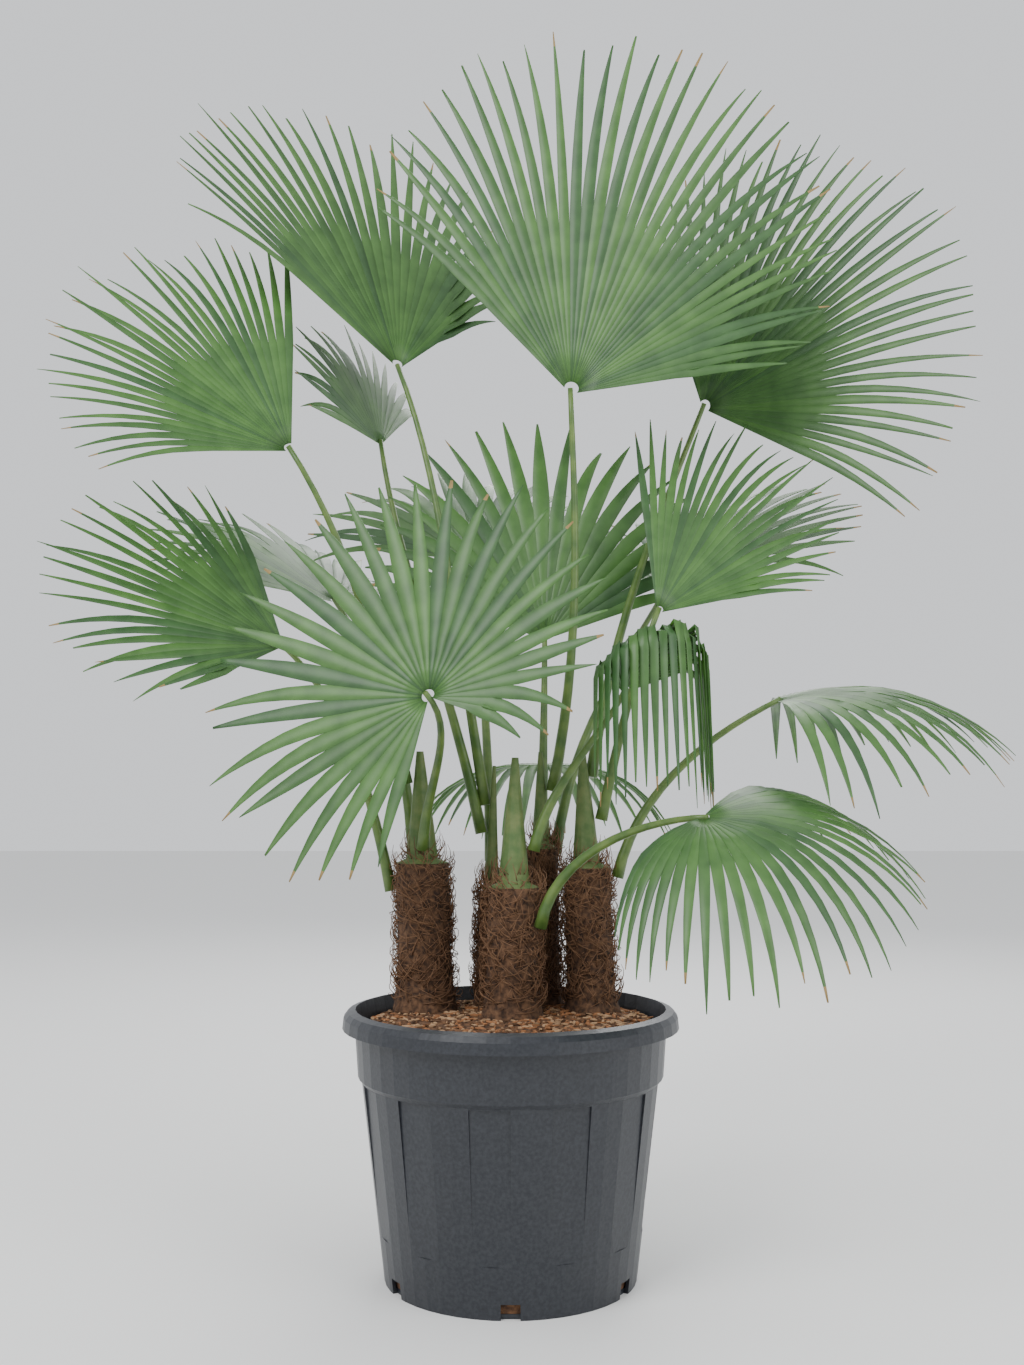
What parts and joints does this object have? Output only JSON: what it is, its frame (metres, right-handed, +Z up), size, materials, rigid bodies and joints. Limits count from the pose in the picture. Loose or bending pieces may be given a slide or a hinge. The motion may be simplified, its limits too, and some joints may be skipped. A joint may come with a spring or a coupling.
{
  "type": "potted windmill palm",
  "caption": "Young clumping fan palm with several short fibrous stems and stiff fan-shaped fronds, standing in a round ribbed nursery pot.",
  "frame": {"origin": "middle of the pot's flat underside", "axes": "+Z up, +X to the right of the picture, +Y to the back"},
  "size_m": [1.3594, 1.0989, 1.8125],
  "materials": {
    "pot_plastic": "satin charcoal plastic",
    "soil": "loose bark and coir",
    "stem_fibre": "hairy brown fibre",
    "leaf": "satin green leaf"
  },
  "bodies": {
    "root": {"pot": "pot_plastic", "soil": "soil", "stem_left": "stem_fibre", "stem_front": "stem_fibre", "stem_middle": "stem_fibre", "stem_back": "stem_fibre", "stem_right": "stem_fibre", "frond_top_middle": "leaf", "frond_top_right": "leaf", "frond_top_left": "leaf", "frond_left": "leaf", "frond_front": "leaf", "frond_left_low": "leaf", "frond_umbrella": "leaf", "frond_folded": "leaf", "frond_right": "leaf", "frond_far_right": "leaf", "frond_middle": "leaf", "frond_left_back": "leaf", "frond_back_left": "leaf", "frond_back": "leaf", "frond_back_right": "leaf", "frond_back_low": "leaf"}
  },
  "joints": []
}
